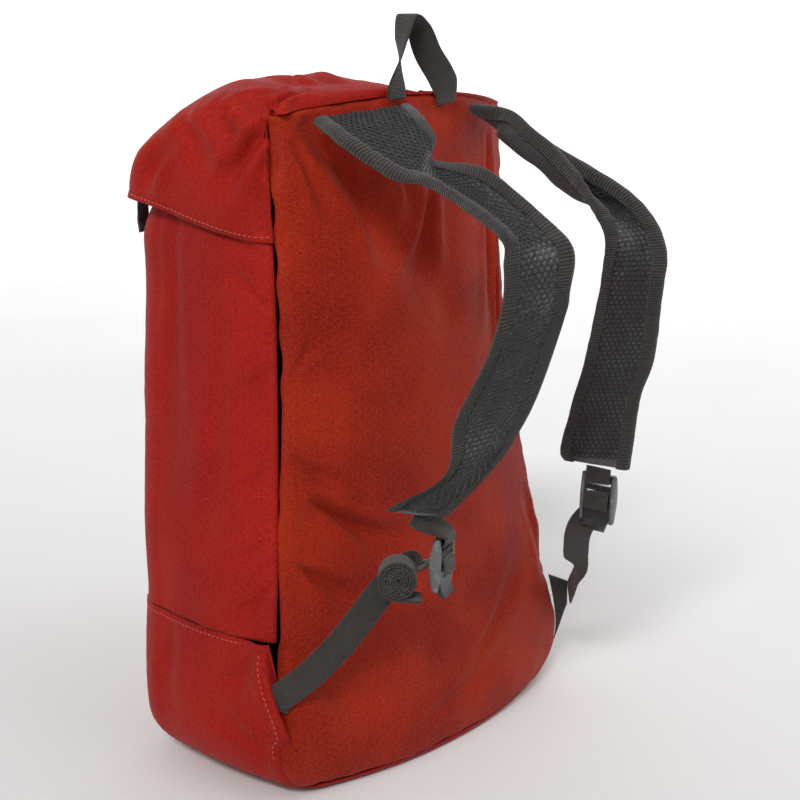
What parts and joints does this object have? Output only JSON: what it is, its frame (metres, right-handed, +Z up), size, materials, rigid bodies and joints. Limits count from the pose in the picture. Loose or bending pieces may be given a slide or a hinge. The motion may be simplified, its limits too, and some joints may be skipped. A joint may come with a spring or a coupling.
{
  "type": "packable backpack",
  "caption": "Soft packable backpack with a curved lid flap, two padded mesh shoulder straps with ladder-lock buckles and a webbing grab loop.",
  "frame": {"origin": "middle of the flat outer face of the floor, which the backpack stands on", "axes": "+Z up, -Y out of the back panel that carries the shoulder straps, +X to the right of someone who looks at the back panel"},
  "size_m": [0.351, 0.3837, 0.5387],
  "materials": {
    "shell_fabric": "light coated ripstop weave, crimson to orange-red",
    "strap_mesh": "black spacer mesh over a thin foam core",
    "grosgrain": "charcoal ribbed webbing and binding tape",
    "lock_plastic": "moulded black plastic with a soft sheen",
    "tab_fabric": "black woven tab"
  },
  "bodies": {
    "root": {"back_panel": "shell_fabric", "side_and_front_wrap": "shell_fabric", "boot": "shell_fabric", "base_panel": "shell_fabric", "lid_flap": "shell_fabric", "left_strap_pad": "strap_mesh", "right_strap_pad": "strap_mesh", "left_strap_outer_binding": "grosgrain", "left_strap_inner_binding": "grosgrain", "right_strap_outer_binding": "grosgrain", "right_strap_inner_binding": "grosgrain", "grab_loop": "grosgrain", "left_ladder_lock": "lock_plastic", "right_ladder_lock": "lock_plastic", "left_strap_link": "grosgrain", "right_strap_link": "grosgrain", "left_lower_webbing": "grosgrain", "right_lower_webbing": "grosgrain", "webbing_roll": "grosgrain", "right_corner_tab": "tab_fabric", "left_lid_strap": "tab_fabric", "right_lid_strap": "tab_fabric"}
  },
  "joints": []
}
